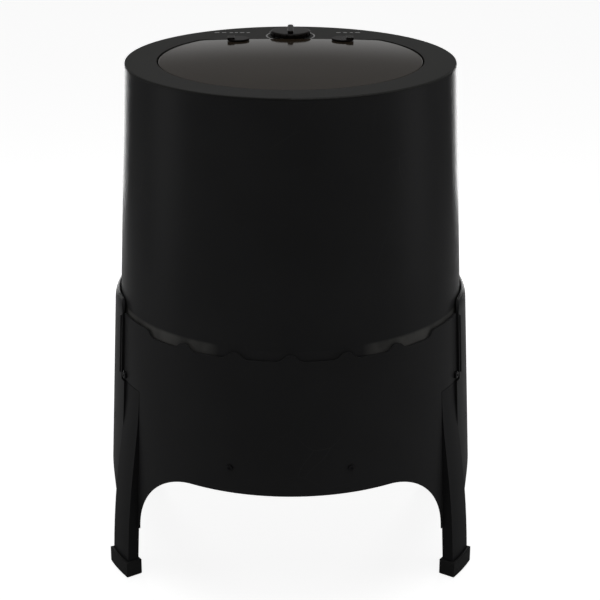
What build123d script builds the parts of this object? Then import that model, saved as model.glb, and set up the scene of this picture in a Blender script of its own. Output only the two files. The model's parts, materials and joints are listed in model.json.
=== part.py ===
from build123d import *
import os
from math import cos, radians, sin

# Compost tumbler: a round drum that turns about its own upright axis on four rollers,
# inside a stand of two side frames and two curved panels. Millimetres, +Z up, floor at
# z = 0, front towards -Y. Azimuths are degrees from the front towards +X.

# Driving dimensions
deck_z = 948.0
drum_top_r = 300.0
drum_low_r = 320.9
drum_low_z = 505.0
bead_r = 323.5
bead_z = 490.0
drum_wall = 4.0
pan_flange_z = 486.0
floor_z = 308.0
stand_top_z = 522.0
shoulder_z = 372.0
frame_r = 331.5
frame_r_z = 501.0
frame_slope = 0.0507
frame_wall = 5.0
panel_r = 327.5
panel_slope = 0.0474
panel_wall = 3.5
panel_edge_z = 237.0
ear_azimuth = 21.3
leg_inner = 56.0
leg_outer = 66.5
arch_r = 136.0
arch_z = 41.0
ring_low_z = 262.0
hub_top_z = 296.0
roller_r = 16.0
roller_z = 288.0
roller_track_r = 270.0
lid_r = 239.5
lid_back_y = 169.5
lid_gap = 2.5
lid_low_z = 940.0
lid_crown_z = 953.0
crown_sphere_r = 4803.0
knob_y = 206.0
catch_x = 99.0
catch_y = 157.0
column_r = 30.0
column_top_z = 880.0
arm_heights = (430.0, 600.0, 770.0)
arm_reach = 250.0
fit = 0.05

os.makedirs("parts", exist_ok=True)


def save(piece, name):
    piece.label = name
    export_step(piece, f"parts/{name}.step")


def radial_plane(azimuth):
    outward = Vector(sin(radians(azimuth)), -cos(radians(azimuth)), 0)
    return Plane(origin=(0, 0, 0), x_dir=outward, z_dir=outward.cross(Vector(0, 0, 1)))


def across_plane(azimuth, reach, height):
    outward = Vector(sin(radians(azimuth)), -cos(radians(azimuth)), 0)
    return Plane(
        origin=outward * reach + Vector(0, 0, height),
        x_dir=Vector(0, 0, 1).cross(outward),
        z_dir=outward,
    )


def frame_out(z):
    return frame_r + (frame_r_z - z) * frame_slope


def panel_out(z):
    return panel_r + (frame_r_z - z) * panel_slope


def drum_out(z):
    return drum_top_r + (deck_z - z) * (drum_low_r - drum_top_r) / (deck_z - drum_low_z)


# A section given as (radius, height) points, turned about the upright axis
def sector(points, start, end):
    with BuildPart() as piece:
        with BuildSketch(radial_plane(start)):
            with BuildLine():
                Polyline(*points, close=True)
            make_face()
        revolve(axis=Axis.Z, revolution_arc=end - start)
    return piece.part


# A round pin or drilled hole whose axis points outwards
def radial_pin(radius, azimuth, reach, height, length):
    with BuildPart() as piece:
        with BuildSketch(across_plane(azimuth, reach, height)):
            Circle(radius)
        extrude(amount=length)
    return piece.part


# Pan-head or hex-head fastener lying along a radius, shank pointing inwards
def radial_bolt(azimuth, head_reach, height, head_r, head_height, shank_r, shank_length):
    with BuildPart() as piece:
        with BuildSketch(across_plane(azimuth, head_reach, height)):
            Circle(head_r)
        extrude(amount=head_height)
        fillet(piece.edges().filter_by(GeomType.CIRCLE).sort_by(Axis(
            (0, 0, 0), (sin(radians(azimuth)), -cos(radians(azimuth)), 0)))[-1], 0.4 * head_height)
        with BuildSketch(across_plane(azimuth, head_reach, height)):
            Circle(shank_r)
        extrude(amount=-shank_length)
        with BuildSketch(across_plane(azimuth, head_reach + head_height, height)):
            RegularPolygon(0.45 * head_r, 6)
        extrude(amount=-0.5 * head_height, mode=Mode.SUBTRACT)
    return piece.part


# The lid's and the opening's outline: a circle cut off straight at the back
def lid_outline(grow, plane, height):
    with BuildPart() as piece:
        with BuildSketch(plane):
            Circle(lid_r + grow)
            with Locations((0, lid_back_y + grow)):
                Rectangle(600, 300, align=(Align.CENTER, Align.MIN), mode=Mode.SUBTRACT)
        extrude(amount=height)
        fillet(piece.edges().filter_by(Axis.Z), 14)
    return piece.part


# ---- Stand: side frames ----

bolt_azimuth = 66.4
bolt_z = shoulder_z + 12
flange_gap = 0.3
flange_wall = 4.0
ring_bolt_azimuths = (78.0, 102.0, 258.0, 282.0)
ring_bolt_z = 279.0
ring_bolt_sink = 3.0


def leg_reach(z):
    return 370.0 - 0.028 * z


def leg_block(start, end, low, high):
    inner_step = 3.0
    with BuildPart() as piece:
        with BuildSketch(radial_plane(start)):
            with BuildLine():
                base = Line((frame_out(low) - frame_wall - inner_step, low), (leg_reach(low), low))
                outer = Spline(
                    base @ 1,
                    (leg_reach(100) - 2, 100),
                    (359, 165),
                    (panel_out(295) + 3.5, 295),
                    (panel_out(high), high),
                    tangents=((-0.02, 1), (-panel_slope, 1)),
                )
                Polyline(outer @ 1, (panel_out(high) - frame_wall, high), base @ 0)
            make_face()
        revolve(axis=Axis.Z, revolution_arc=end - start)
    return piece.part


# Rounds one upper corner of an ear: everything outside the arc
def ear_corner(middle, side_sign):
    edge = frame_r * sin(radians(ear_azimuth))
    with BuildPart() as piece:
        with BuildSketch(across_plane(middle, 200, 0)):
            with BuildLine():
                corner = ThreePointArc(
                    (side_sign * (edge + 1.5), stand_top_z - 36),
                    (side_sign * (edge - 7.5), stand_top_z - 9),
                    (side_sign * (edge - 34), stand_top_z + 1),
                )
                Polyline(
                    corner @ 1,
                    (side_sign * (edge + 20), stand_top_z + 1),
                    (side_sign * (edge + 20), stand_top_z - 36),
                    corner @ 0,
                )
            make_face()
        extrude(amount=250)
    return piece.part


def side_frame(middle):
    leg_low_z = 8.0
    wall_low_z = 38.0
    lap_low_z = shoulder_z - 8
    lap_high_z = 402.0
    lap_inset = panel_wall + flange_gap
    wall_half = 90 - leg_outer + 0.5
    with BuildPart() as piece:
        with BuildSketch(radial_plane(middle - wall_half)):
            with BuildLine():
                side = Line((frame_out(wall_low_z), wall_low_z), (frame_r, frame_r_z))
                roll = Spline(
                    side @ 1, (329.0, 515.0), (322.6, stand_top_z),
                    tangents=((-frame_slope, 1), (-1, 0.15)),
                )
                Polyline(
                    roll @ 1,
                    (321.8, stand_top_z - 1),
                    (325.0, 513.0),
                    (327.5, frame_r_z),
                    (frame_out(wall_low_z) - frame_wall, wall_low_z),
                    side @ 0,
                )
            make_face()
        revolve(axis=Axis.Z, revolution_arc=2 * wall_half)
        # The ear is narrower than the wall below it
        for start in (middle - wall_half - 2, middle + ear_azimuth):
            add(
                sector(
                    [(300, shoulder_z), (400, shoulder_z), (400, 600), (300, 600)],
                    start, start + wall_half + 2 - ear_azimuth,
                ),
                mode=Mode.SUBTRACT,
            )
        for side_sign in (-1, 1):
            add(ear_corner(middle, side_sign), mode=Mode.SUBTRACT)
        # Arch between this frame's two legs
        with BuildSketch(across_plane(middle, 200, 0)):
            with Locations((0, arch_z)):
                Circle(arch_r)
            Rectangle(2 * arch_r, 2 * arch_z, align=(Align.CENTER, Align.CENTER))
        extrude(amount=250, mode=Mode.SUBTRACT)
        # Channel-shaped legs, open towards the inside
        for leg_start in (middle - 90 + leg_inner, middle + 90 - leg_outer):
            leg_end = leg_start + leg_outer - leg_inner
            add(leg_block(leg_start, leg_end, leg_low_z, shoulder_z))
            add(
                sector(
                    [
                        (frame_out(16) - frame_wall - 8, 16),
                        (leg_reach(16) - frame_wall, 16),
                        (leg_reach(100) - 2 - frame_wall, 100),
                        (359 - frame_wall, 165),
                        (panel_out(295) + 3.5 - frame_wall, 295),
                        (panel_out(295) - frame_wall - 10, 295),
                    ],
                    leg_start + 1, leg_end - 1,
                ),
                mode=Mode.SUBTRACT,
            )
        # Lap tabs behind the panels' upper corners, with the bolt holes
        for turn in (-1, 1):
            tab_from = middle + turn * (90 - 62)
            tab_root = middle + turn * (90 - 69.5)
            tab_end = middle + turn * (90 - 74)
            root_out = frame_out(bolt_z) - panel_out(bolt_z) - 2
            for start, outward in ((tab_from, -lap_inset), (tab_root, root_out)):
                add(sector(
                    [
                        (panel_out(lap_low_z) - lap_inset - flange_wall, lap_low_z),
                        (panel_out(lap_low_z) + outward, lap_low_z),
                        (panel_out(lap_high_z) + outward, lap_high_z),
                        (panel_out(lap_high_z) - lap_inset - flange_wall, lap_high_z),
                    ],
                    min(start, tab_end), max(start, tab_end),
                ))
            bolt_at = middle + turn * (90 - bolt_azimuth)
            add(radial_pin(3.2, bolt_at, 315, bolt_z, 40), mode=Mode.SUBTRACT)
        # Counterbored holes, so that the ring bolts lie flush
        bore_floor = frame_out(ring_bolt_z) - ring_bolt_sink
        for turn in (-12, 12):
            add(radial_pin(4.3, middle + turn, 325, ring_bolt_z, 40), mode=Mode.SUBTRACT)
            add(radial_pin(8.5, middle + turn, bore_floor, ring_bolt_z, 40), mode=Mode.SUBTRACT)
    return piece.part


save(side_frame(90), "side_frame_right")
save(side_frame(270), "side_frame_left")


# ---- Stand: curved front and rear panels ----

wave_pitch = 17.5
wave_depth = 12.0
screw_azimuth = 18.5
screw_z = 285.0


def wave_notch(azimuth):
    half_pitch = panel_r * sin(radians(wave_pitch / 2))
    half_flat = 0.49 * half_pitch
    with BuildPart() as piece:
        with BuildSketch(across_plane(azimuth, 280, 0)):
            with BuildLine():
                flat = Line(
                    (-half_flat, frame_r_z - wave_depth), (half_flat, frame_r_z - wave_depth))
                rise = Spline(flat @ 1, (half_pitch, frame_r_z), tangents=((1, 0), (1, 0)))
                fall = Spline((-half_pitch, frame_r_z), flat @ 0, tangents=((1, 0), (1, 0)))
                Polyline(rise @ 1, (half_pitch, frame_r_z + 20), (-half_pitch, frame_r_z + 20), fall @ 0)
            make_face()
        extrude(amount=100)
    return piece.part


def panel_arch(middle, low_z):
    level_half = 178.0
    sweep_width = 104.0
    rise = panel_edge_z - low_z
    with BuildPart() as piece:
        with BuildSketch(across_plane(middle, 100, 0)):
            with Locations((0, low_z)):
                Rectangle(2 * level_half, rise, align=(Align.CENTER, Align.MIN))
            with Locations((-level_half, low_z), (level_half, low_z)):
                Ellipse(sweep_width, rise)
        extrude(amount=300)
    return piece.part


def curved_panel(middle):
    low_z = 99.0
    upper_half = 68.5
    lower_half = 55.8
    with BuildPart() as piece:
        add(sector(
            [
                (panel_out(low_z) - panel_wall, low_z),
                (panel_out(low_z), low_z),
                (panel_out(frame_r_z), frame_r_z),
                (panel_out(frame_r_z) - panel_wall, frame_r_z),
            ],
            middle - upper_half, middle + upper_half,
        ))
        # Below the shoulders the legs stand beside the panel
        for start in (middle - upper_half - 2, middle + lower_half):
            add(
                sector(
                    [(300, 50), (400, 50), (400, shoulder_z + 1), (300, shoulder_z + 1)],
                    start, start + upper_half + 2 - lower_half,
                ),
                mode=Mode.SUBTRACT,
            )
        # Bottom edge: level in the middle, with a large round sweep down to each leg
        add(panel_arch(middle, low_z - 1), mode=Mode.SUBTRACT)
        for step in (-2.5, -1.5, -0.5, 0.5, 1.5, 2.5):
            add(wave_notch(middle + step * wave_pitch), mode=Mode.SUBTRACT)
        for turn in (-1, 1):
            add(radial_pin(3.2, middle + turn * bolt_azimuth, 315, bolt_z, 40), mode=Mode.SUBTRACT)
            add(radial_pin(2.7, middle + turn * screw_azimuth, 325, screw_z, 30), mode=Mode.SUBTRACT)
    return piece.part


save(curved_panel(0), "front_panel")
save(curved_panel(180), "rear_panel")


# ---- Stand: foot caps, fasteners ----

leg_middles = {
    "front_right": 0.5 * (leg_inner + leg_outer),
    "rear_right": 180 - 0.5 * (leg_inner + leg_outer),
    "rear_left": 180 + 0.5 * (leg_inner + leg_outer),
    "front_left": 360 - 0.5 * (leg_inner + leg_outer),
}


def foot_cap(middle):
    cap_height = 32.0
    half = 5.9
    pocket_half = 5.3
    cap_floor = 4.0
    with BuildPart() as piece:
        add(sector([(343, 0), (375, 0), (375, cap_height), (343, cap_height)], middle - half, middle + half))
        chamfer(piece.edges().group_by(Axis.Z)[0], 2)
        fillet(piece.edges().group_by(Axis.Z)[-1], 1.5)
        add(
            sector(
                [(346.8, cap_floor + 3.8), (370.4, cap_floor + 3.8), (370.4, 40), (346.8, 40)],
                middle - pocket_half, middle + pocket_half,
            ),
            mode=Mode.SUBTRACT,
        )
    return piece.part


for place, azimuth in leg_middles.items():
    save(foot_cap(azimuth), f"foot_{place}")

bolt_azimuths = (bolt_azimuth, 180 - bolt_azimuth, 180 + bolt_azimuth, 360 - bolt_azimuth)
bolt_seat = panel_out(bolt_z) + 0.5
panel_bolts = [radial_bolt(a, bolt_seat, bolt_z, 7.0, 4.5, 3.0, 14.0) for a in bolt_azimuths]
save(Compound(children=panel_bolts), "panel_bolts")


def panel_nut(azimuth):
    seat = panel_out(bolt_z) - panel_wall - flange_gap - flange_wall - 4.9
    with BuildPart() as piece:
        with BuildSketch(across_plane(azimuth, seat, bolt_z)):
            RegularPolygon(5.0, 6, major_radius=False)
            Circle(3.1, mode=Mode.SUBTRACT)
        extrude(amount=4.4)
    return piece.part


save(Compound(children=[panel_nut(a) for a in bolt_azimuths]), "panel_nuts")

screw_azimuths = (screw_azimuth, 180 - screw_azimuth, 180 + screw_azimuth, 360 - screw_azimuth)
screw_seat = panel_out(screw_z) + 0.4
panel_screws = [radial_bolt(a, screw_seat, screw_z, 5.5, 2.4, 2.5, 14.0) for a in screw_azimuths]
save(Compound(children=panel_screws), "panel_screws")

ring_bolt_seat = frame_out(ring_bolt_z) - ring_bolt_sink + 0.1
ring_bolts = [
    radial_bolt(a, ring_bolt_seat, ring_bolt_z, 8.0, 2.6, 4.0, 17.0) for a in ring_bolt_azimuths
]
save(Compound(children=ring_bolts), "ring_bolts")


# ---- Stand: base ring that carries the rollers and the hub ----

web_z = ring_low_z + 6
hub_r = 48.0
hub_bore_r = 30.1
bracket_azimuths = (45.0, 135.0, 225.0, 315.0)

with BuildPart() as base_ring:
    rim_low = panel_out(ring_low_z) - panel_wall - 1.2
    rim_high = panel_out(296) - panel_wall - 1.2
    add(sector(
        [
            (236, 250), (240, 250), (240, ring_low_z), (rim_low, ring_low_z), (rim_high, 296),
            (rim_high - 4, 296), (rim_low - 5, web_z), (236, web_z),
        ],
        0, 360,
    ))
    with BuildSketch(Plane.XY.offset(256)):
        Circle(hub_r)
    extrude(amount=hub_top_z - 256)
    with BuildSketch(Plane.XY.offset(ring_low_z)):
        with PolarLocations(0, 6, start_angle=30):
            with Locations((145, 0)):
                Rectangle(200, 30)
    extrude(amount=6)
    with BuildSketch(Plane.XY.offset(250)):
        with PolarLocations(0, 6, start_angle=30):
            with Locations((145, 0)):
                Rectangle(194, 5)
    extrude(amount=12)
    for azimuth in ring_bolt_azimuths:
        add(radial_pin(4.1, azimuth, 315, ring_bolt_z, 40), mode=Mode.SUBTRACT)
    for azimuth in screw_azimuths:
        add(radial_pin(2.55, azimuth, 320, screw_z, 30), mode=Mode.SUBTRACT)
    with BuildSketch(Plane.XY.offset(250)):
        Circle(hub_bore_r)
    extrude(amount=60, mode=Mode.SUBTRACT)
save(base_ring.part, "base_ring")


# Spacer block between the base ring's rim and a side frame
def ring_spacer(azimuth):
    low = 265.0
    high = 293.0
    with BuildPart() as piece:
        add(sector(
            [
                (panel_out(low) - panel_wall - 0.9, low),
                (frame_out(low) - frame_wall - 0.2, low),
                (frame_out(high) - frame_wall - 0.2, high),
                (panel_out(high) - panel_wall - 0.9, high),
            ],
            azimuth - 4, azimuth + 4,
        ))
        add(radial_pin(4.1, azimuth, 315, ring_bolt_z, 40), mode=Mode.SUBTRACT)
    return piece.part


save(Compound(children=[ring_spacer(a) for a in ring_bolt_azimuths]), "ring_spacers")


def roller_bracket(azimuth):
    with BuildPart() as piece:
        with BuildSketch(across_plane(azimuth, 256, web_z + 0.2)):
            Rectangle(44, 3, align=(Align.CENTER, Align.MIN))
        extrude(amount=28)
        for reach in (258.0, 278.0):
            with BuildSketch(across_plane(azimuth, reach, web_z + 0.2)):
                Rectangle(28, 3, align=(Align.CENTER, Align.MIN))
                Rectangle(16, 26, align=(Align.CENTER, Align.MIN))
            extrude(amount=4)
        add(radial_pin(4.1, azimuth, 250, roller_z, 40), mode=Mode.SUBTRACT)
    return piece.part


def roller_pin(azimuth):
    with BuildPart() as piece:
        add(radial_pin(4.0, azimuth, 257, roller_z, 26))
        add(radial_pin(6.0, azimuth, 283, roller_z, 2.5))
    return piece.part


def roller_wheel(azimuth):
    width = 14.0
    with BuildPart() as piece:
        with BuildSketch(across_plane(azimuth, roller_track_r - width / 2, roller_z)):
            Circle(roller_r)
            Circle(4.0 + fit, mode=Mode.SUBTRACT)
        extrude(amount=width)
        outer = piece.edges().filter_by(GeomType.CIRCLE).group_by(SortBy.RADIUS)[-1]
        chamfer(outer, 1.5)
    return piece.part


save(Compound(children=[roller_bracket(a) for a in bracket_azimuths]), "roller_brackets")
save(Compound(children=[roller_pin(a) for a in bracket_azimuths]), "roller_pins")
for number, azimuth in enumerate(bracket_azimuths, 1):
    save(roller_wheel(azimuth), f"roller_wheel_{number}")


# ---- Stand: hollow axle and the fixed mixing column with its arms ----

journal_in = 24.0
spigot_r = column_r - 3.1
axle_top_z = 336.0

with BuildPart() as centre_axle:
    with BuildSketch(Plane.XY.offset(249)):
        Circle(46)
    extrude(amount=6.9)
    with BuildSketch(Plane.XY.offset(255)):
        Circle(column_r)
    extrude(amount=axle_top_z - 255)
    with BuildSketch(Plane.XY.offset(axle_top_z)):
        Circle(spigot_r)
    extrude(amount=20)
    with BuildSketch(Plane.XY.offset(240)):
        Circle(journal_in)
    extrude(amount=140, mode=Mode.SUBTRACT)
save(centre_axle.part, "centre_axle")

with BuildPart() as thrust_washer:
    with BuildSketch(Plane.XY.offset(hub_top_z + 0.1)):
        Circle(45)
        Circle(column_r + 0.3, mode=Mode.SUBTRACT)
    extrude(amount=3)
save(thrust_washer.part, "thrust_washer")

arm_width = 14.0
arm_depth = 30.0

with BuildPart() as mixer_column:
    with BuildSketch(Plane.XY.offset(axle_top_z + 0.2)):
        Circle(column_r)
        Circle(column_r - 3, mode=Mode.SUBTRACT)
    extrude(amount=column_top_z - axle_top_z)
    for height in arm_heights:
        with BuildSketch(Plane.YZ.offset(-50)):
            with Locations((0, height)):
                Rectangle(arm_width + 0.2, arm_depth + 0.2)
        extrude(amount=100, mode=Mode.SUBTRACT)
        with BuildSketch(Plane.XZ.offset(-50)):
            with Locations((0, height)):
                Circle(3.1)
        extrude(amount=100, mode=Mode.SUBTRACT)
        # Rows of air holes above and below each arm
        for rise in (-65, -45, 40, 60, 80):
            for direction in (0, 60, 120):
                add(radial_pin(4.5, direction, -50, height + rise, 100), mode=Mode.SUBTRACT)
save(mixer_column.part, "mixer_column")

with BuildPart() as column_cap:
    with BuildSketch(Plane.XY.offset(column_top_z + 0.4)):
        Circle(column_r + 2)
    extrude(amount=8)
    fillet(column_cap.edges().sort_by(Axis.Z)[-1], 5)
    with BuildSketch(Plane.XY.offset(column_top_z - 12)):
        Circle(column_r - 3.2)
        Circle(column_r - 6, mode=Mode.SUBTRACT)
    extrude(amount=13)
save(column_cap.part, "column_cap")


# A paddle with a sharpened upper and lower edge, running through the column
def mixer_arm(height):
    with BuildPart() as piece:
        with BuildSketch(Plane.YZ.offset(-arm_reach)):
            with BuildLine():
                Polyline(
                    (-arm_width / 2, height - arm_depth / 4), (0, height - arm_depth / 2),
                    (arm_width / 2, height - arm_depth / 4), (arm_width / 2, height + arm_depth / 4),
                    (0, height + arm_depth / 2), (-arm_width / 2, height + arm_depth / 4), close=True,
                )
            make_face()
        extrude(amount=2 * arm_reach)
        for end in (-1, 1):
            with BuildSketch(Plane.XZ.offset(-50)):
                with Locations((end * arm_reach, height)):
                    Rectangle(60, 60)
                with Locations((end * (arm_reach - arm_depth / 2), height)):
                    Circle(arm_depth / 2, mode=Mode.SUBTRACT)
                    Rectangle(arm_depth, arm_depth, align=(
                        Align.MAX if end > 0 else Align.MIN, Align.CENTER), mode=Mode.SUBTRACT)
            extrude(amount=100, mode=Mode.SUBTRACT)
        with BuildSketch(Plane.XZ.offset(-50)):
            with Locations((0, height)):
                Circle(3.1)
        extrude(amount=100, mode=Mode.SUBTRACT)
    return piece.part


for number, height in enumerate(arm_heights, 1):
    save(mixer_arm(height), f"mixer_arm_{number}")


def arm_pin(height):
    with BuildPart() as piece:
        add(radial_pin(3.0, 0, -column_r - 4, height, 2 * column_r + 8))
        add(radial_pin(5.0, 0, column_r + 0.4, height, 3.5))
        add(radial_pin(5.0, 0, -column_r - 3.9, height, 3.5))
    return piece.part


save(Compound(children=[arm_pin(h) for h in arm_heights]), "arm_pins")


# ---- Drum ----

pan_screw_r = 312.8

with BuildPart() as drum_shell:
    add(sector(
        [
            (drum_out(deck_z - 4.2) - drum_wall, deck_z - 4.2),
            (drum_out(deck_z - 4.2), deck_z - 4.2),
            (drum_out(drum_low_z + 1) - 0.2, drum_low_z + 1),
            (bead_r, bead_z),
            (bead_r, pan_flange_z),
            (305, pan_flange_z),
            (305, bead_z),
            (drum_out(bead_z + 2) - drum_wall - 2, bead_z),
            (drum_out(drum_low_z) - drum_wall, drum_low_z),
        ],
        0, 360,
    ))
    # Screw holes in the inturned bottom flange
    with BuildSketch(Plane.XY.offset(pan_flange_z - 1)):
        with PolarLocations(pan_screw_r, 8, start_angle=22.5):
            Circle(2.6)
    extrude(amount=6, mode=Mode.SUBTRACT)
save(drum_shell.part, "drum_shell")

bush_out = 36.0

with BuildPart() as drum_pan:
    add(sector(
        [
            (bush_out, floor_z),
            (280, floor_z), (292, floor_z + 5), (298, floor_z + 16),
            (308, pan_flange_z - 4.2), (bead_r - 1, pan_flange_z - 4.2), (bead_r - 1, pan_flange_z - 0.1),
            (304, pan_flange_z - 0.1),
            (294, floor_z + 18), (289, floor_z + 9), (279, floor_z + 4),
            (bush_out, floor_z + 4),
        ],
        0, 360,
    ))
    with BuildSketch(Plane.XY.offset(pan_flange_z - 6)):
        with PolarLocations(pan_screw_r, 8, start_angle=22.5):
            Circle(2.6)
    extrude(amount=8, mode=Mode.SUBTRACT)
    # Drain holes in the floor
    with BuildSketch(Plane.XY.offset(floor_z - 2)):
        with PolarLocations(110, 12):
            Circle(3.5)
        with PolarLocations(190, 18):
            Circle(3.5)
    extrude(amount=8, mode=Mode.SUBTRACT)
save(drum_pan.part, "drum_pan")


def upright_screw(x, y, head_z, head_r, shank_r, shank_length):
    with BuildPart() as piece:
        with BuildSketch(Plane.XY.offset(head_z)):
            with Locations((x, y)):
                Circle(head_r)
        extrude(amount=-2.5)
        with BuildSketch(Plane.XY.offset(head_z)):
            with Locations((x, y)):
                Circle(shank_r)
        extrude(amount=shank_length)
    return piece.part


pan_screws = []
for number in range(8):
    angle = radians(22.5 + 45 * number)
    pan_screws.append(upright_screw(
        pan_screw_r * cos(angle), pan_screw_r * sin(angle), pan_flange_z - 4.3, 4.4, 2.4, 9))
save(Compound(children=pan_screws), "pan_screws")

with BuildPart() as drum_bush:
    add(sector(
        [
            (column_r + fit, hub_top_z + 4), (bush_out - 0.1, hub_top_z + 4),
            (bush_out - 0.1, floor_z + 4.2), (46, floor_z + 4.2), (46, floor_z + 8),
            (column_r + fit, floor_z + 8),
        ],
        0, 360,
    ))
save(drum_bush.part, "drum_bush")

with BuildPart() as floor_seal:
    add(sector([(32, floor_z + 8.1), (42, floor_z + 8.1), (36, floor_z + 14), (32, floor_z + 14)], 0, 360))
save(floor_seal.part, "floor_seal")

with BuildPart() as track_ring:
    add(sector(
        [(256, floor_z - 0.1), (256, roller_z + roller_r + 0.4),
         (281, roller_z + roller_r + 0.4), (281, floor_z - 0.1)],
        0, 360,
    ))
save(track_ring.part, "track_ring")


# Lifting fin: an upright blade standing in from the wall on a curved foot
def drum_fin(azimuth):
    low_z = 515.0
    high_z = 900.0
    depth = 28.0
    with BuildPart() as piece:
        wall_low = drum_out(low_z) - drum_wall - 0.5
        wall_high = drum_out(high_z) - drum_wall - 0.5
        add(sector(
            [(wall_low - 3, low_z), (wall_low, low_z), (wall_high, high_z), (wall_high - 3, high_z)],
            azimuth - 4, azimuth + 4,
        ))
        with BuildSketch(radial_plane(azimuth)):
            with BuildLine():
                Polyline(
                    (wall_low - 1.5, low_z), (wall_low - depth, low_z + 30),
                    (wall_high - depth, high_z - 30), (wall_high - 1.5, high_z), close=True,
                )
            make_face()
        extrude(amount=2.5, both=True)
    return piece.part


for number in range(3):
    save(drum_fin(30 + 120 * number), f"drum_fin_{number + 1}")


# ---- Deck: the drum's fixed top with the lid opening ----

deck_wall = 4.0
seat_low = 932.0
seat_wall = 4.0
tongue_x = 36.0
recess_r = 33.0
neck_half = 15.0

with BuildPart() as top_deck:
    with BuildSketch(Plane.XY.offset(deck_z - deck_wall)):
        Circle(drum_top_r)
    extrude(amount=deck_wall)
    fillet(top_deck.edges().group_by(Axis.Z)[-1], 2.5)
    with BuildSketch(Plane.XY.offset(deck_z - 18)):
        Circle(295.6)
        Circle(292.0, mode=Mode.SUBTRACT)
    extrude(amount=15)
    # Wall and seat ledge round the opening
    add(lid_outline(lid_gap + 3, Plane.XY.offset(seat_low), deck_z - seat_low - 1))
    with BuildSketch(Plane.XY.offset(seat_low)):
        with Locations((0, knob_y)):
            Circle(recess_r + 3)
    extrude(amount=deck_z - seat_low - 1)
    add(lid_outline(lid_gap, Plane.XY.offset(seat_low + seat_wall), 30), mode=Mode.SUBTRACT)
    add(lid_outline(lid_gap - 8, Plane.XY.offset(seat_low - 5), 30), mode=Mode.SUBTRACT)
    # Round recess for the knob's lug, with a slot for the cam
    with BuildSketch(Plane.XY.offset(seat_low + seat_wall)):
        with Locations((0, knob_y)):
            Circle(recess_r)
        with Locations((0, 155)):
            Rectangle(2 * neck_half + 5, 40, align=(Align.CENTER, Align.MIN))
    extrude(amount=30, mode=Mode.SUBTRACT)
    with BuildSketch(Plane.XY.offset(seat_low - 5)):
        with Locations((0, knob_y)):
            Circle(12)
        with Locations((0, 150)):
            Rectangle(22, knob_y - 150, align=(Align.CENTER, Align.MIN))
    extrude(amount=30, mode=Mode.SUBTRACT)
    # Slots in the front of the seat for the lid's two tongues
    for side_sign in (-1, 1):
        with BuildSketch(Plane.XY.offset(seat_low - 5)):
            with Locations((side_sign * tongue_x, -262)):
                Rectangle(32, 50, align=(Align.CENTER, Align.MIN))
        extrude(amount=deck_z - deck_wall - seat_low + 5, mode=Mode.SUBTRACT)
save(top_deck.part, "top_deck")


# ---- Lid ----

# The outline filled up to a shallow dome, from the given height
def crowned(grow, low, drop):
    rim_r = 250.0
    rim_z = lid_crown_z - drop - rim_r**2 / (2 * crown_sphere_r)
    mid_z = lid_crown_z - drop - (rim_r / 2) ** 2 / (2 * crown_sphere_r)
    with BuildPart() as piece:
        with BuildSketch(radial_plane(0)):
            with BuildLine():
                dome = ThreePointArc((0, lid_crown_z - drop), (rim_r / 2, mid_z), (rim_r, rim_z))
                Polyline(dome @ 1, (rim_r, low), (0, low), dome @ 0)
            make_face()
        revolve(axis=Axis.Z)
        add(lid_outline(grow, Plane.XY.offset(low - 1), 30), mode=Mode.INTERSECT)
    return piece.part


with BuildPart() as lid_panel:
    add(crowned(0, lid_low_z, 0))
    fillet(lid_panel.faces().sort_by(Axis.Z)[-1].edges(), 2.0)
    add(crowned(-12, lid_low_z - 1, 4), mode=Mode.SUBTRACT)
    # Flat bosses for the two catches
    for side_sign in (-1, 1):
        with BuildSketch(Plane.XY.offset(lid_low_z)):
            with Locations((side_sign * catch_x, catch_y)):
                Circle(20)
            with Locations((side_sign * catch_x, lid_back_y)):
                Rectangle(60, 20, align=(Align.CENTER, Align.MIN), mode=Mode.SUBTRACT)
        extrude(amount=10.4)
    # Lug under the knob
    with BuildSketch(Plane.XY.offset(lid_low_z)):
        with Locations((0, knob_y)):
            Circle(30)
        with Locations((0, 150)):
            Rectangle(2 * neck_half, 40, align=(Align.CENTER, Align.MIN))
    extrude(amount=5)
    # Tongues that reach under the deck at the front
    for side_sign in (-1, 1):
        with BuildSketch(Plane.XY.offset(lid_low_z - 3)):
            with Locations((side_sign * tongue_x, -257)):
                Rectangle(24, 40, align=(Align.CENTER, Align.MIN))
        extrude(amount=3.5)
    with BuildSketch(Plane.XY.offset(lid_low_z - 10)):
        with Locations((0, knob_y)):
            Circle(8 + fit)
        with Locations((-catch_x, catch_y), (catch_x, catch_y)):
            Circle(5 + fit)
    extrude(amount=30, mode=Mode.SUBTRACT)
save(lid_panel.part, "lid_panel")

with BuildPart() as lid_seal:
    add(lid_outline(-2, Plane.XY.offset(lid_low_z - 3.4), 3.3))
    add(lid_outline(-5, Plane.XY.offset(lid_low_z - 5), 10), mode=Mode.SUBTRACT)
    for side_sign in (-1, 1):
        with BuildSketch(Plane.XY.offset(lid_low_z - 5)):
            with Locations((side_sign * tongue_x, -262)):
                Rectangle(25, 60, align=(Align.CENTER, Align.MIN))
        extrude(amount=10, mode=Mode.SUBTRACT)
save(lid_seal.part, "lid_seal")


# ---- Lock knob and its cam ----

knob_low_z = deck_z + 2.5
knob_disc_r = 39.5

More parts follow.
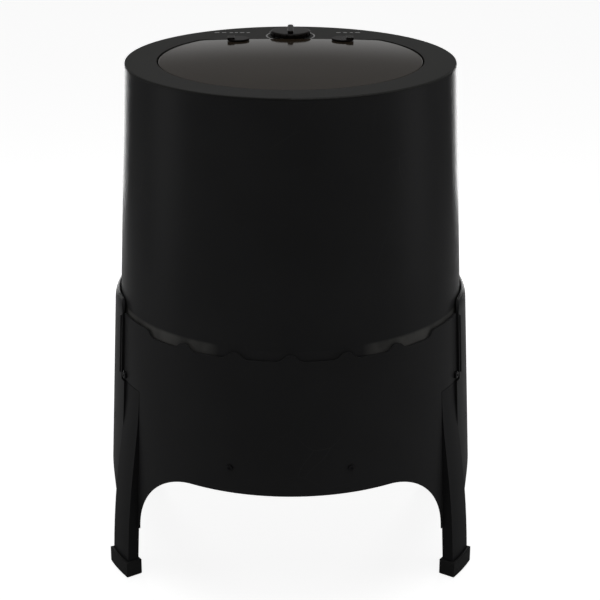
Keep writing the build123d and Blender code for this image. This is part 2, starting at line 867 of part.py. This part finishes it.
with BuildPart() as lock_knob:
    with BuildSketch(Plane.XY.offset(knob_low_z)):
        with Locations((0, knob_y)):
            Circle(knob_disc_r)
    extrude(amount=8.2)
    fillet(lock_knob.edges().group_by(Axis.Z)[-1], 5)
    # Finger grooves round the rim
    with BuildSketch(Plane.XY.offset(knob_low_z - 1)):
        with Locations((0, knob_y)):
            with PolarLocations(knob_disc_r + 2.5, 18):
                Circle(4)
    extrude(amount=20, mode=Mode.SUBTRACT)
    with BuildSketch(Plane.XY.offset(knob_low_z + 7)):
        with Locations((0, knob_y)):
            SlotOverall(66, 11, rotation=90)
    extrude(amount=deck_z + 16 - knob_low_z - 7)
    fillet(lock_knob.edges().group_by(Axis.Z)[-1], 2)
    with BuildSketch(Plane.XY.offset(lid_low_z + 5.3)):
        with Locations((0, knob_y)):
            Circle(14)
    extrude(amount=knob_low_z - lid_low_z - 5)
    with BuildSketch(Plane.XY.offset(931)):
        with Locations((0, knob_y)):
            Circle(8)
    extrude(amount=20)
    with BuildSketch(Plane.XY.offset(931)):
        with Locations((0, knob_y)):
            Circle(2.6)
    extrude(amount=14, mode=Mode.SUBTRACT)
save(lock_knob.part, "lock_knob")


# A one-sided cam whose nose points along the given direction
def cam(x, y, top_z, direction, hub_radius, nose, width):
    with BuildPart() as piece:
        with BuildSketch(Plane.XY.offset(top_z - 5)):
            with Locations((x, y)):
                Circle(hub_radius)
                with PolarLocations(0, 1, start_angle=direction):
                    Rectangle(nose, width, align=(Align.MIN, Align.CENTER))
                Circle(2.6, mode=Mode.SUBTRACT)
        extrude(amount=5)
    return piece.part


save(cam(0, knob_y, 930.9, -90, 9.5, 34, 16), "lock_cam")
save(upright_screw(0, knob_y, 925.8, 5.5, 2.5, 16), "lock_cam_screw")


# ---- Side catches ----

def catch_knob(side_sign):
    seat_z = lid_low_z + 10.8
    with BuildPart() as piece:
        with BuildSketch(Plane.XY.offset(seat_z)):
            with Locations((side_sign * catch_x, catch_y)):
                Circle(21)
        extrude(amount=3.2)
        fillet(piece.edges().group_by(Axis.Z)[-1], 1.5)
        with BuildSketch(Plane.XY.offset(seat_z + 1)):
            with Locations((side_sign * (catch_x + 13.5), catch_y)):
                RectangleRounded(14, 24, 3)
        extrude(amount=5)
        fillet(piece.edges().group_by(Axis.Z)[-1], 1.2)
        with BuildSketch(Plane.XY.offset(931)):
            with Locations((side_sign * catch_x, catch_y)):
                Circle(5)
        extrude(amount=seat_z - 930)
        with BuildSketch(Plane.XY.offset(931)):
            with Locations((side_sign * catch_x, catch_y)):
                Circle(2.1)
        extrude(amount=12, mode=Mode.SUBTRACT)
    return piece.part


for side_name, side_sign, inward in (("left", -1, 0), ("right", 1, 180)):
    save(catch_knob(side_sign), f"catch_{side_name}")
    save(cam(side_sign * catch_x, catch_y, 930.9, inward, 5.5, 26, 9), f"catch_cam_{side_name}")
    save(
        upright_screw(side_sign * catch_x, catch_y, 925.8, 4, 2.0, 14),
        f"catch_screw_{side_name}",
    )
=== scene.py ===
import json
import math
import bmesh
import bpy
from mathutils import Matrix, Vector


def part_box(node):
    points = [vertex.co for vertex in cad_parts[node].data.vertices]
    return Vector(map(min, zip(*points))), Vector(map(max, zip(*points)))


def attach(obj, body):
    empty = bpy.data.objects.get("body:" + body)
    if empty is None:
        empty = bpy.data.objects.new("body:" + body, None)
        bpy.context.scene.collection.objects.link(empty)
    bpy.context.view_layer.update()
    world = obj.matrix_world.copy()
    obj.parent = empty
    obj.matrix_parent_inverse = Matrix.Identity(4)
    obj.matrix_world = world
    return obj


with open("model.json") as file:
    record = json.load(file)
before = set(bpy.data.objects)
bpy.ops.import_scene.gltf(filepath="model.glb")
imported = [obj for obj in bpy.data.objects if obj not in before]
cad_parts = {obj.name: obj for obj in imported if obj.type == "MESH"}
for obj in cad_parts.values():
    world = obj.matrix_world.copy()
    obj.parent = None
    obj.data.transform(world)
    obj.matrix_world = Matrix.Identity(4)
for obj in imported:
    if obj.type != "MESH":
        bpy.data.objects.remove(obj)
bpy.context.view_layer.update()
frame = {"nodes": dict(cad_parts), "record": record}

print("frame loaded, nodes:", len(frame["nodes"]))


# Camera and light, so that every later piece is judged under them

viewSetup = {
    "lens": 100.7,  # a long lens, from about three metres
    "distance": 3.0,
    "height": 1.6035,
    "pitch": 20.5,  # degrees down
    "shiftX": 0.0158,
}

lightSetup = {
    "rimPower": 9.0,  # watts, for each of the two strips behind the bin
    "rimAngle": 26.0,  # degrees off straight behind
    "rimDistance": 2.4,
    "rimHeight": 0.45,
    "rimSize": (0.5, 0.85),
    "sidePower": 4.0,
    "sideSpot": (2.6, -0.2, 0.55),
    "sideSize": (1.0, 1.1),
    "topPower": 24.0,
    "topSpot": (0, 0.1, 3.2),
    "topSize": (2.6, 2.6),
    "skyLevel": 0.12,
    "glowLevel": 0.55,  # bright band low behind the bin, seen in the lid
    "glowFade": (0.23, 0.08),  # upward part of a direction: no glow, full glow
    "glowTurn": (0.25, 0.8),  # backward part of a direction: no glow, full glow
}


def addCamera(setup):
    data = bpy.data.cameras.new("shotCamera")
    data.lens = setup["lens"]
    data.sensor_width = 36
    data.shift_x = setup["shiftX"]
    data.clip_end = 50
    cam = bpy.data.objects.new("shotCamera", data)
    bpy.context.scene.collection.objects.link(cam)
    cam.location = (0, -setup["distance"], setup["height"])
    cam.rotation_euler = (math.radians(90 - setup["pitch"]), 0, 0)
    bpy.context.scene.camera = cam


def addAreaLight(name, spot, aim, size, power):
    data = bpy.data.lights.new(name, "AREA")
    data.shape = "RECTANGLE"
    data.size, data.size_y = size
    data.energy = power
    lamp = bpy.data.objects.new(name, data)
    bpy.context.scene.collection.objects.link(lamp)
    lamp.location = spot
    lamp.visible_camera = False
    lamp.rotation_euler = (Vector(aim) - Vector(spot)).to_track_quat("-Z", "Y").to_euler()


def addLights(setup):
    turn = math.radians(setup["rimAngle"])
    sideX, sideY, sideZ = setup["sideSpot"]
    for side in (-1, 1):
        rimX = side * setup["rimDistance"] * math.sin(turn)
        rimSpot = (rimX, setup["rimDistance"] * math.cos(turn), setup["rimHeight"])
        addAreaLight(f"rimStrip{side}", rimSpot, (0, 0, 0.5), setup["rimSize"], setup["rimPower"])
        sideSpot = (side * sideX, sideY, sideZ)
        addAreaLight(f"sideFill{side}", sideSpot, (0, 0, 0.45), setup["sideSize"], setup["sidePower"])
    addAreaLight("softTop", setup["topSpot"], (0, 0, 0), setup["topSize"], setup["topPower"])


def addWorld(setup):
    world = bpy.data.worlds.new("paleStudio")
    bpy.context.scene.world = world
    world.use_nodes = True
    nodes, links = world.node_tree.nodes, world.node_tree.links
    nodes.clear()
    coords = nodes.new("ShaderNodeTexCoord")
    split = nodes.new("ShaderNodeSeparateXYZ")
    links.new(coords.outputs["Generated"], split.inputs[0])
    low = nodes.new("ShaderNodeMapRange")  # bright near the horizon, dim above
    low.interpolation_type = "SMOOTHSTEP"
    low.inputs["From Min"].default_value, low.inputs["From Max"].default_value = setup["glowFade"]
    links.new(split.outputs["Z"], low.inputs["Value"])
    behind = nodes.new("ShaderNodeMapRange")
    behind.interpolation_type = "SMOOTHSTEP"
    behind.inputs["From Min"].default_value, behind.inputs["From Max"].default_value = setup["glowTurn"]
    links.new(split.outputs["Y"], behind.inputs["Value"])
    glow = nodes.new("ShaderNodeMath")
    glow.operation = "MULTIPLY"
    links.new(low.outputs["Result"], glow.inputs[0])
    links.new(behind.outputs["Result"], glow.inputs[1])
    level = nodes.new("ShaderNodeMapRange")
    level.inputs["To Min"].default_value = setup["skyLevel"]
    level.inputs["To Max"].default_value = setup["glowLevel"]
    links.new(glow.outputs[0], level.inputs["Value"])
    studio = nodes.new("ShaderNodeBackground")
    studio.inputs["Color"].default_value = (1, 1, 1, 1)
    links.new(level.outputs["Result"], studio.inputs["Strength"])
    paper = nodes.new("ShaderNodeBackground")  # what the camera itself sees
    paper.inputs["Color"].default_value = (1, 1, 1, 1)
    paper.inputs["Strength"].default_value = 1.0
    rays = nodes.new("ShaderNodeLightPath")
    mix = nodes.new("ShaderNodeMixShader")
    links.new(rays.outputs["Is Camera Ray"], mix.inputs[0])
    links.new(studio.outputs[0], mix.inputs[1])
    links.new(paper.outputs[0], mix.inputs[2])
    out = nodes.new("ShaderNodeOutputWorld")
    links.new(mix.outputs[0], out.inputs["Surface"])


bpy.context.scene.view_settings.view_transform = "Standard"
addCamera(viewSetup)
addLights(lightSetup)
addWorld(lightSetup)
print("camera and lights placed")


# Effects that several finishes share

def newGroup(name, inputs, outputs):
    group = bpy.data.node_groups.new(name, "ShaderNodeTree")
    for label, value in inputs:
        socket = group.interface.new_socket(name=label, in_out="INPUT", socket_type="NodeSocketFloat")
        socket.default_value = value
    for label in outputs:
        group.interface.new_socket(name=label, in_out="OUTPUT", socket_type="NodeSocketFloat")
    return group, group.nodes.new("NodeGroupInput"), group.nodes.new("NodeGroupOutput")


def buildMouldGrain():  # fine moulded texture, with slow waves from the tool
    group, given, result = newGroup("mouldGrain", [("Scale", 600), ("Waves", 0.3)], ["Height", "Tone"])
    nodes, links = group.nodes, group.links
    coords = nodes.new("ShaderNodeTexCoord")
    fine = nodes.new("ShaderNodeTexNoise")
    fine.inputs["Detail"].default_value = 3
    links.new(coords.outputs["Object"], fine.inputs["Vector"])
    links.new(given.outputs["Scale"], fine.inputs["Scale"])
    slow = nodes.new("ShaderNodeTexNoise")
    slow.inputs["Scale"].default_value = 7
    slow.inputs["Detail"].default_value = 2
    links.new(coords.outputs["Object"], slow.inputs["Vector"])
    add = nodes.new("ShaderNodeMath")
    add.operation = "MULTIPLY_ADD"
    links.new(slow.outputs["Fac"], add.inputs[0])
    links.new(given.outputs["Waves"], add.inputs[1])
    links.new(fine.outputs["Fac"], add.inputs[2])
    links.new(add.outputs[0], result.inputs["Height"])
    links.new(slow.outputs["Fac"], result.inputs["Tone"])
    return group


def buildHandlingMarks():  # sparse hairline scuffs
    group, given, result = newGroup("handlingMarks", [("Scale", 9), ("Amount", 0.5)], ["Mask"])
    nodes, links = group.nodes, group.links
    coords = nodes.new("ShaderNodeTexCoord")
    bend = nodes.new("ShaderNodeTexNoise")
    bend.inputs["Scale"].default_value = 3
    links.new(coords.outputs["Object"], bend.inputs["Vector"])
    shift = nodes.new("ShaderNodeVectorMath")
    shift.operation = "MULTIPLY_ADD"
    shift.inputs[1].default_value = (0.25, 0.25, 0.25)
    links.new(bend.outputs["Color"], shift.inputs[0])
    links.new(coords.outputs["Object"], shift.inputs[2])
    cells = nodes.new("ShaderNodeTexVoronoi")
    cells.feature = "DISTANCE_TO_EDGE"
    links.new(shift.outputs[0], cells.inputs["Vector"])
    links.new(given.outputs["Scale"], cells.inputs["Scale"])
    line = nodes.new("ShaderNodeMapRange")
    line.inputs["From Min"].default_value = 0.006
    line.inputs["From Max"].default_value = 0.0
    links.new(cells.outputs["Distance"], line.inputs["Value"])
    patch = nodes.new("ShaderNodeTexNoise")
    patch.inputs["Scale"].default_value = 5
    links.new(coords.outputs["Object"], patch.inputs["Vector"])
    keep = nodes.new("ShaderNodeMapRange")
    keep.inputs["From Min"].default_value = 0.52
    keep.inputs["From Max"].default_value = 0.7
    links.new(patch.outputs["Fac"], keep.inputs["Value"])
    both = nodes.new("ShaderNodeMath")
    both.operation = "MULTIPLY"
    links.new(line.outputs["Result"], both.inputs[0])
    links.new(keep.outputs["Result"], both.inputs[1])
    scaled = nodes.new("ShaderNodeMath")
    scaled.operation = "MULTIPLY"
    links.new(both.outputs[0], scaled.inputs[0])
    links.new(given.outputs["Amount"], scaled.inputs[1])
    links.new(scaled.outputs[0], result.inputs["Mask"])
    return group


mouldGrain = buildMouldGrain()
handlingMarks = buildHandlingMarks()


# Finishes

def startFinish(name):
    mat = bpy.data.materials.new(name)
    mat.use_nodes = True
    nodes = mat.node_tree.nodes
    shader = next(n for n in nodes if n.type == "BSDF_PRINCIPLED")
    return mat, nodes, mat.node_tree.links, shader


def placeGroup(nodes, group, values):
    node = nodes.new("ShaderNodeGroup")
    node.node_tree = group
    for label, value in values.items():
        node.inputs[label].default_value = value
    return node


grainDepth = 0.0004  # metres


def mouldedFinish(name, look):
    mat, nodes, links, shader = startFinish(name)
    shader.inputs["Specular IOR Level"].default_value = look["specular"]
    grain = placeGroup(nodes, mouldGrain, {"Scale": look["grainScale"], "Waves": look["waves"]})
    marks = placeGroup(nodes, handlingMarks, {"Scale": look["markScale"], "Amount": look["marks"]})
    tone = nodes.new("ShaderNodeMix")
    tone.data_type = "RGBA"
    tone.inputs[6].default_value = (*look["dark"], 1)  # sockets 6 and 7 are the two colours
    tone.inputs[7].default_value = (*look["light"], 1)
    links.new(grain.outputs["Tone"], tone.inputs[0])
    worn = nodes.new("ShaderNodeMix")
    worn.data_type = "RGBA"
    worn.inputs[7].default_value = (*look["scuff"], 1)
    links.new(marks.outputs["Mask"], worn.inputs[0])
    links.new(tone.outputs[2], worn.inputs[6])
    links.new(worn.outputs[2], shader.inputs["Base Color"])
    rough = nodes.new("ShaderNodeMapRange")
    rough.inputs["To Min"].default_value = look["roughness"] - look["roughSpread"]
    rough.inputs["To Max"].default_value = look["roughness"] + look["roughSpread"]
    links.new(grain.outputs["Tone"], rough.inputs["Value"])
    links.new(rough.outputs["Result"], shader.inputs["Roughness"])
    bump = nodes.new("ShaderNodeBump")
    bump.inputs["Strength"].default_value = look["bump"]
    bump.inputs["Distance"].default_value = grainDepth
    links.new(grain.outputs["Height"], bump.inputs["Height"])
    links.new(bump.outputs["Normal"], shader.inputs["Normal"])
    return mat


def metalFinish(name, look):
    mat = mouldedFinish(name, look)
    shader = next(n for n in mat.node_tree.nodes if n.type == "BSDF_PRINCIPLED")
    shader.inputs["Metallic"].default_value = 1.0
    return mat


drumLook = {
    "dark": (0.036, 0.036, 0.037), "light": (0.048, 0.048, 0.049), "scuff": (0.10, 0.10, 0.10),
    "specular": 0.05, "roughness": 0.34, "roughSpread": 0.05, "grainScale": 900, "waves": 0.2,
    "markScale": 7, "marks": 0.25, "bump": 0.12,
}
deckLook = {**drumLook, "dark": (0.030, 0.030, 0.029), "light": (0.038, 0.038, 0.036),
            "specular": 0.13, "roughness": 0.5, "marks": 0.35}
standLook = {**drumLook, "dark": (0.023, 0.023, 0.024), "light": (0.033, 0.033, 0.034),
             "roughness": 0.36, "grainScale": 700, "waves": 0.35}
# painted light: the front and rear panels get a lighter copy of the stand plastic, standing in for the
# light their faces catch
litPanelLook = {**standLook, "dark": (0.036, 0.036, 0.037), "light": (0.047, 0.047, 0.048)}
footLook = {**drumLook, "dark": (0.028, 0.028, 0.028), "light": (0.040, 0.040, 0.040),
            "specular": 0.1, "roughness": 0.62, "grainScale": 450, "bump": 0.3}
sealLook = {**footLook, "dark": (0.016, 0.016, 0.016), "light": (0.024, 0.024, 0.024), "roughness": 0.7}
lidLook = {
    "dark": (0.030, 0.021, 0.013), "light": (0.038, 0.028, 0.018), "scuff": (0.07, 0.065, 0.06),
    "specular": 0.5, "roughness": 0.1, "roughSpread": 0.02, "grainScale": 260, "waves": 0.6,
    "markScale": 11, "marks": 0.22, "bump": 0.01,
}
knobLook = {
    "dark": (0.007, 0.0055, 0.005), "light": (0.011, 0.009, 0.008), "scuff": (0.04, 0.038, 0.036),
    "specular": 0.09, "roughness": 0.28, "roughSpread": 0.05, "grainScale": 500, "waves": 0.3,
    "markScale": 40, "marks": 0.4, "bump": 0.05,
}
steelLook = {
    "dark": (0.02, 0.02, 0.021), "light": (0.045, 0.045, 0.047), "scuff": (0.2, 0.2, 0.2),
    "specular": 0.5, "roughness": 0.38, "roughSpread": 0.08, "grainScale": 1200, "waves": 0.4,
    "markScale": 120, "marks": 0.5, "bump": 0.08,
}
nylonLook = {
    "dark": (0.24, 0.235, 0.22), "light": (0.32, 0.31, 0.295), "scuff": (0.12, 0.11, 0.1),
    "specular": 0.4, "roughness": 0.45, "roughSpread": 0.06, "grainScale": 500, "waves": 0.4,
    "markScale": 60, "marks": 0.5, "bump": 0.08,
}
printLook = {
    "dark": (0.32, 0.32, 0.32), "light": (0.42, 0.42, 0.42), "scuff": (0.2, 0.2, 0.2),
    "specular": 0.3, "roughness": 0.5, "roughSpread": 0.05, "grainScale": 900, "waves": 0.2,
    "markScale": 90, "marks": 0.5, "bump": 0.05,
}

finishes = {
    "drum_plastic": mouldedFinish("drumBlack", drumLook),
    "stand_plastic": mouldedFinish("standBlack", standLook),
    "foot_rubber": mouldedFinish("footRubber", footLook),
    "seal_rubber": mouldedFinish("sealRubber", sealLook),
    "fastener_steel": metalFinish("blackenedSteel", steelLook),
    "bearing_nylon": mouldedFinish("bearingNylon", nylonLook),
    "knob_plastic": mouldedFinish("knobGloss", knobLook),
    "lid_smoke": mouldedFinish("lidBronze", lidLook),
}


def addBeadHighlight(mat, look):  # painted highlight on the bead's two sides, where the drum leaves the stand: a pale patchy band standing in for the light the bead's top face catches
    nodes, links = mat.node_tree.nodes, mat.node_tree.links
    shader = next(n for n in nodes if n.type == "BSDF_PRINCIPLED")
    below = shader.inputs["Base Color"].links[0].from_socket
    coords = nodes.new("ShaderNodeTexCoord")
    split = nodes.new("ShaderNodeSeparateXYZ")
    links.new(coords.outputs["Object"], split.inputs[0])
    away = nodes.new("ShaderNodeMath")
    away.operation = "ABSOLUTE"
    links.new(split.outputs["X"], away.inputs[0])
    mask = None
    for source, start, end in (
        (away.outputs[0], look["sideFrom"], look["sideFull"]),
        (split.outputs["Z"], look["lowFrom"], look["lowFull"]),
        (split.outputs["Z"], look["highFrom"], look["highFull"]),
    ):
        ramp = nodes.new("ShaderNodeMapRange")
        ramp.inputs["From Min"].default_value = start
        ramp.inputs["From Max"].default_value = end
        links.new(source, ramp.inputs["Value"])
        if mask is None:
            mask = ramp.outputs["Result"]
            continue
        both = nodes.new("ShaderNodeMath")
        both.operation = "MULTIPLY"
        links.new(mask, both.inputs[0])
        links.new(ramp.outputs["Result"], both.inputs[1])
        mask = both.outputs[0]
    patch = nodes.new("ShaderNodeTexNoise")
    patch.inputs["Scale"].default_value = look["patchScale"]
    links.new(coords.outputs["Object"], patch.inputs["Vector"])
    amount = nodes.new("ShaderNodeMapRange")
    amount.inputs["From Min"].default_value = 0.3
    amount.inputs["From Max"].default_value = 0.6
    amount.inputs["To Min"].default_value = 0.5
    links.new(patch.outputs["Fac"], amount.inputs["Value"])
    final = nodes.new("ShaderNodeMath")
    final.operation = "MULTIPLY"
    links.new(mask, final.inputs[0])
    links.new(amount.outputs["Result"], final.inputs[1])
    # mixes the pale painted highlight into the drum's colour
    highlight = nodes.new("ShaderNodeMix")
    highlight.data_type = "RGBA"
    highlight.inputs[7].default_value = (*look["color"], 1)
    links.new(final.outputs[0], highlight.inputs[0])
    links.new(below, highlight.inputs[6])
    links.new(highlight.outputs[2], shader.inputs["Base Color"])


# where the painted bead highlight lies, and its pale colour
beadHighlightLook = {
    "sideFrom": 0.125, "sideFull": 0.15,  # metres from the middle
    "lowFrom": 0.486, "lowFull": 0.489, "highFrom": 0.511, "highFull": 0.507,
    "patchScale": 24, "color": (0.12, 0.118, 0.112),
}
addBeadHighlight(finishes["drum_plastic"], beadHighlightLook)
deckFinish = mouldedFinish("deckSatin", deckLook)
# the lighter panel copy carries painted light on the front and rear panels
litPanelFinish = mouldedFinish("litPanelBlack", litPanelLook)
printFinish = mouldedFinish("whitePrint", printLook)

slotOf = {part["node"]: part["material_slot"] for part in frame["record"]["subparts"]}
ownFinish = {"top_deck": deckFinish, "front_panel": litPanelFinish, "rear_panel": litPanelFinish}
for name, node in frame["nodes"].items():
    finish = ownFinish.get(name, finishes[slotOf[name]])
    for place in node.material_slots:
        place.material = finish
print("finishes given to", len(frame["nodes"]), "nodes")


# Floor

floorLook = {
    "halfSize": 14,
    "color": (0.6, 0.6, 0.6),
    "roughness": 0.9,
    "specular": 0.1,
    "lift": (0.87, 0.87, 0.87),  # the paper's own brightness, for the camera alone
}


def addFloor(look):
    mesh = bpy.data.meshes.new("studioFloor")
    bm = bmesh.new()
    bmesh.ops.create_grid(bm, x_segments=1, y_segments=1, size=look["halfSize"])
    bm.to_mesh(mesh)
    bm.free()
    floor = bpy.data.objects.new("studioFloor", mesh)
    bpy.context.scene.collection.objects.link(floor)
    mat, nodes, links, shader = startFinish("paperFloor")
    shader.inputs["Base Color"].default_value = (*look["color"], 1)
    shader.inputs["Roughness"].default_value = look["roughness"]
    shader.inputs["Specular IOR Level"].default_value = look["specular"]
    lift = nodes.new("ShaderNodeLightPath")
    links.new(lift.outputs["Is Camera Ray"], shader.inputs["Emission Strength"])
    shader.inputs["Emission Color"].default_value = (*look["lift"], 1)
    mesh.materials.append(mat)


addFloor(floorLook)
print("floor laid")


# Printed marks on the deck: turn arcs beside the knob and two plain signs

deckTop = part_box("top_deck")[1].z
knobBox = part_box("lock_knob")
knobSpot = Vector(((knobBox[0].x + knobBox[1].x) / 2, (knobBox[0].y + knobBox[1].y) / 2, deckTop))

marksLook = {
    "thickness": 0.00035,
    "arcRadius": 0.0445,
    "arcWidth": 0.0028,
    "arcSweep": 70,  # degrees
    "arcSteps": 24,
    "arrowLength": 0.007,
    "arrowHalf": 0.0045,
    "signX": 0.112,  # from the middle to a sign's centre
    "signY": 0.030,  # behind the knob's centre
    "barDepth": 0.006,
    "barCorner": 0.0024,
    "leftBars": [(-0.031, 0.010), (-0.017, 0.009), (-0.003, 0.007),  # place along the sign, length
                 (0.007, 0.006), (0.018, 0.009), (0.030, 0.007)],
    "rightBars": [(-0.019, 0.009), (-0.006, 0.008), (0.006, 0.006), (0.018, 0.010)],
}


def finishPrint(bm, name):
    bmesh.ops.recalc_face_normals(bm, faces=bm.faces)
    mesh = bpy.data.meshes.new(name)
    bm.to_mesh(mesh)
    bm.free()
    mesh.materials.append(printFinish)
    piece = bpy.data.objects.new(name, mesh)
    bpy.context.scene.collection.objects.link(piece)
    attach(piece, "drum")


def raiseFace(bm, faces, thickness):
    grown = bmesh.ops.extrude_face_region(bm, geom=faces)
    verts = [v for v in grown["geom"] if isinstance(v, bmesh.types.BMVert)]
    bmesh.ops.translate(bm, verts=verts, vec=(0, 0, thickness))


def addTurnArc(side, look):
    bm = bmesh.new()
    start = math.radians(-look["arcSweep"] / 2 if side > 0 else 180 - look["arcSweep"] / 2)
    inner = bm.verts.new((look["arcRadius"] * math.cos(start), look["arcRadius"] * math.sin(start), 0))
    reach = look["arcRadius"] + look["arcWidth"]
    outer = bm.verts.new((reach * math.cos(start), reach * math.sin(start), 0))
    edge = bm.edges.new((inner, outer))
    bmesh.ops.spin(bm, geom=[inner, outer, edge], axis=(0, 0, 1), angle=math.radians(look["arcSweep"]),
                   steps=look["arcSteps"], cent=(0, 0, 0))
    tip = start + math.radians(look["arcSweep"])  # arrow head at the arc's rear end
    middle = look["arcRadius"] + look["arcWidth"] / 2
    points = []
    corners = ((0, -look["arrowHalf"]), (0, look["arrowHalf"]), (look["arrowLength"] / middle, 0))
    for swing, away in corners:
        angle, reach = tip + swing, middle + away
        points.append(bm.verts.new((reach * math.cos(angle), reach * math.sin(angle), 0)))
    bm.faces.new(points)
    raiseFace(bm, bm.faces[:], look["thickness"])
    bmesh.ops.translate(bm, verts=bm.verts, vec=knobSpot)
    finishPrint(bm, "turnArcRight" if side > 0 else "turnArcLeft")


def addSign(side, look, bars):
    bm = bmesh.new()
    spotX = side * look["signX"]
    for offset, length in bars:
        made = bmesh.ops.create_grid(bm, x_segments=1, y_segments=1, size=0.5)
        bmesh.ops.scale(bm, verts=made["verts"], vec=(length, look["barDepth"], 1))
        bmesh.ops.translate(bm, verts=made["verts"], vec=(spotX + offset, look["signY"], 0))
    bmesh.ops.bevel(bm, geom=bm.verts[:], offset=look["barCorner"], affect="VERTICES", segments=4,
                    profile=0.5, material=-1)
    raiseFace(bm, bm.faces[:], look["thickness"])
    bmesh.ops.translate(bm, verts=bm.verts, vec=knobSpot)
    finishPrint(bm, "signRight" if side > 0 else "signLeft")


for side in (-1, 1):
    addTurnArc(side, marksLook)
addSign(-1, marksLook, marksLook["leftBars"])
addSign(1, marksLook, marksLook["rightBars"])
print("printed marks added")


# Rolled edges of the two panels, beside the ears

edgeLook = {
    "azimuth": 68.6,  # degrees from the front
    "reach": 0.3345,  # from the axis at the top end
    "slope": 0.0507,
    "radius": 0.0019,
    "low": 0.386,
    "high": 0.499,
    "endBevel": 0.0012,
}
edgeFinish = mouldedFinish("edgeSheen", {**standLook, "specular": 0.3, "roughness": 0.35, "marks": 0.1})


def addPanelEdge(azimuth, look):
    bm = bmesh.new()
    angle = math.radians(azimuth)
    ends = []
    for height in (look["low"], look["high"]):
        reach = look["reach"] + (look["high"] - height) * look["slope"]
        ends.append(Vector((reach * math.sin(angle), -reach * math.cos(angle), height)))
    made = bmesh.ops.create_cone(bm, cap_ends=True, segments=20, radius1=look["radius"],
                                 radius2=look["radius"], depth=(ends[1] - ends[0]).length)
    turn = (ends[1] - ends[0]).to_track_quat("Z", "Y").to_matrix().to_4x4()
    placing = Matrix.Translation((ends[0] + ends[1]) / 2) @ turn
    bmesh.ops.transform(bm, matrix=placing, verts=made["verts"])
    caps = [e for e in bm.edges if any(len(f.verts) > 4 for f in e.link_faces)]
    bmesh.ops.bevel(bm, geom=caps, offset=look["endBevel"], affect="EDGES", segments=3,
                    profile=0.5, material=-1)
    for face in bm.faces:
        face.smooth = True
    mesh = bpy.data.meshes.new(f"panelEdge{round(azimuth)}")
    bm.to_mesh(mesh)
    bm.free()
    mesh.materials.append(edgeFinish)
    piece = bpy.data.objects.new(mesh.name, mesh)
    bpy.context.scene.collection.objects.link(piece)
    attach(piece, "stand")


edgeTurn = edgeLook["azimuth"]
for azimuth in (edgeTurn, 180 - edgeTurn, 180 + edgeTurn, -edgeTurn):
    addPanelEdge(azimuth, edgeLook)
print("panel edges added")
